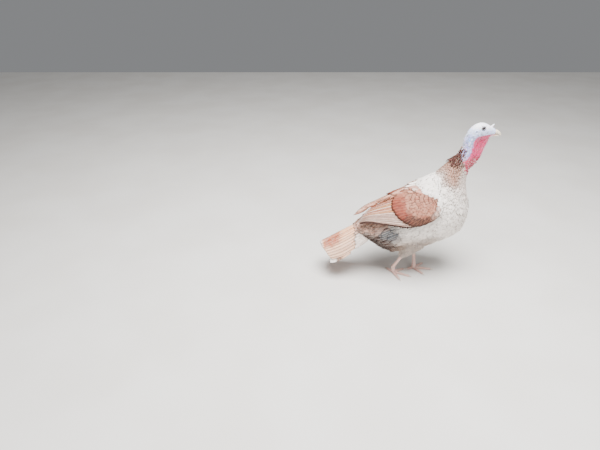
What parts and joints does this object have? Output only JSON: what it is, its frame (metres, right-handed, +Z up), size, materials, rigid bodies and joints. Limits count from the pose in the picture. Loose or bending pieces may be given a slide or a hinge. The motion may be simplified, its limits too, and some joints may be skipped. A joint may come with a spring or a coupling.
{
  "type": "domestic turkey hen",
  "caption": "Life-size still model of a light crossbred turkey hen in a slow walk, head up, wings folded and tail closed.",
  "frame": {"origin": "middle of the bird's box at floor level, between the feet", "axes": "+X the way the bird walks and looks, +Y to its left, +Z up"},
  "size_m": [0.6284, 0.2378, 0.6262],
  "materials": {
    "white_skin": "bare, finely wrinkled head skin, near white",
    "pink_skin": "bare folded skin, rose red",
    "blue_skin": "bare warty skin, pale blue to pink",
    "horn": "satin horn",
    "eye": "wet and dark",
    "cream_feather": "soft cream feathers with dusky flecks",
    "tan_feather": "soft tan feathers",
    "chestnut_feather": "firm chestnut and buff vanes with cream edges",
    "peach_feather": "firm cream vanes with a reddish band and white tips",
    "grey_feather": "soft grey down",
    "leg_scale": "scaly pinkish grey skin"
  },
  "bodies": {
    "root": {"head": "white_skin", "snood": "white_skin", "bill_upper": "horn", "bill_lower": "horn", "dewlap": "pink_skin", "neck_upper": "blue_skin", "neck_lower": "tan_feather", "torso": "cream_feather", "tail": "peach_feather", "eye_left": "eye", "wing_left": "chestnut_feather", "thigh_left": "grey_feather", "shank_left": "leg_scale", "foot_left": "leg_scale", "claw_left_inner": "horn", "claw_left_middle": "horn", "claw_left_outer": "horn", "claw_left_hind": "horn", "eye_right": "eye", "wing_right": "chestnut_feather", "thigh_right": "grey_feather", "shank_right": "leg_scale", "foot_right": "leg_scale", "claw_right_inner": "horn", "claw_right_middle": "horn", "claw_right_outer": "horn", "claw_right_hind": "horn"}
  },
  "joints": []
}
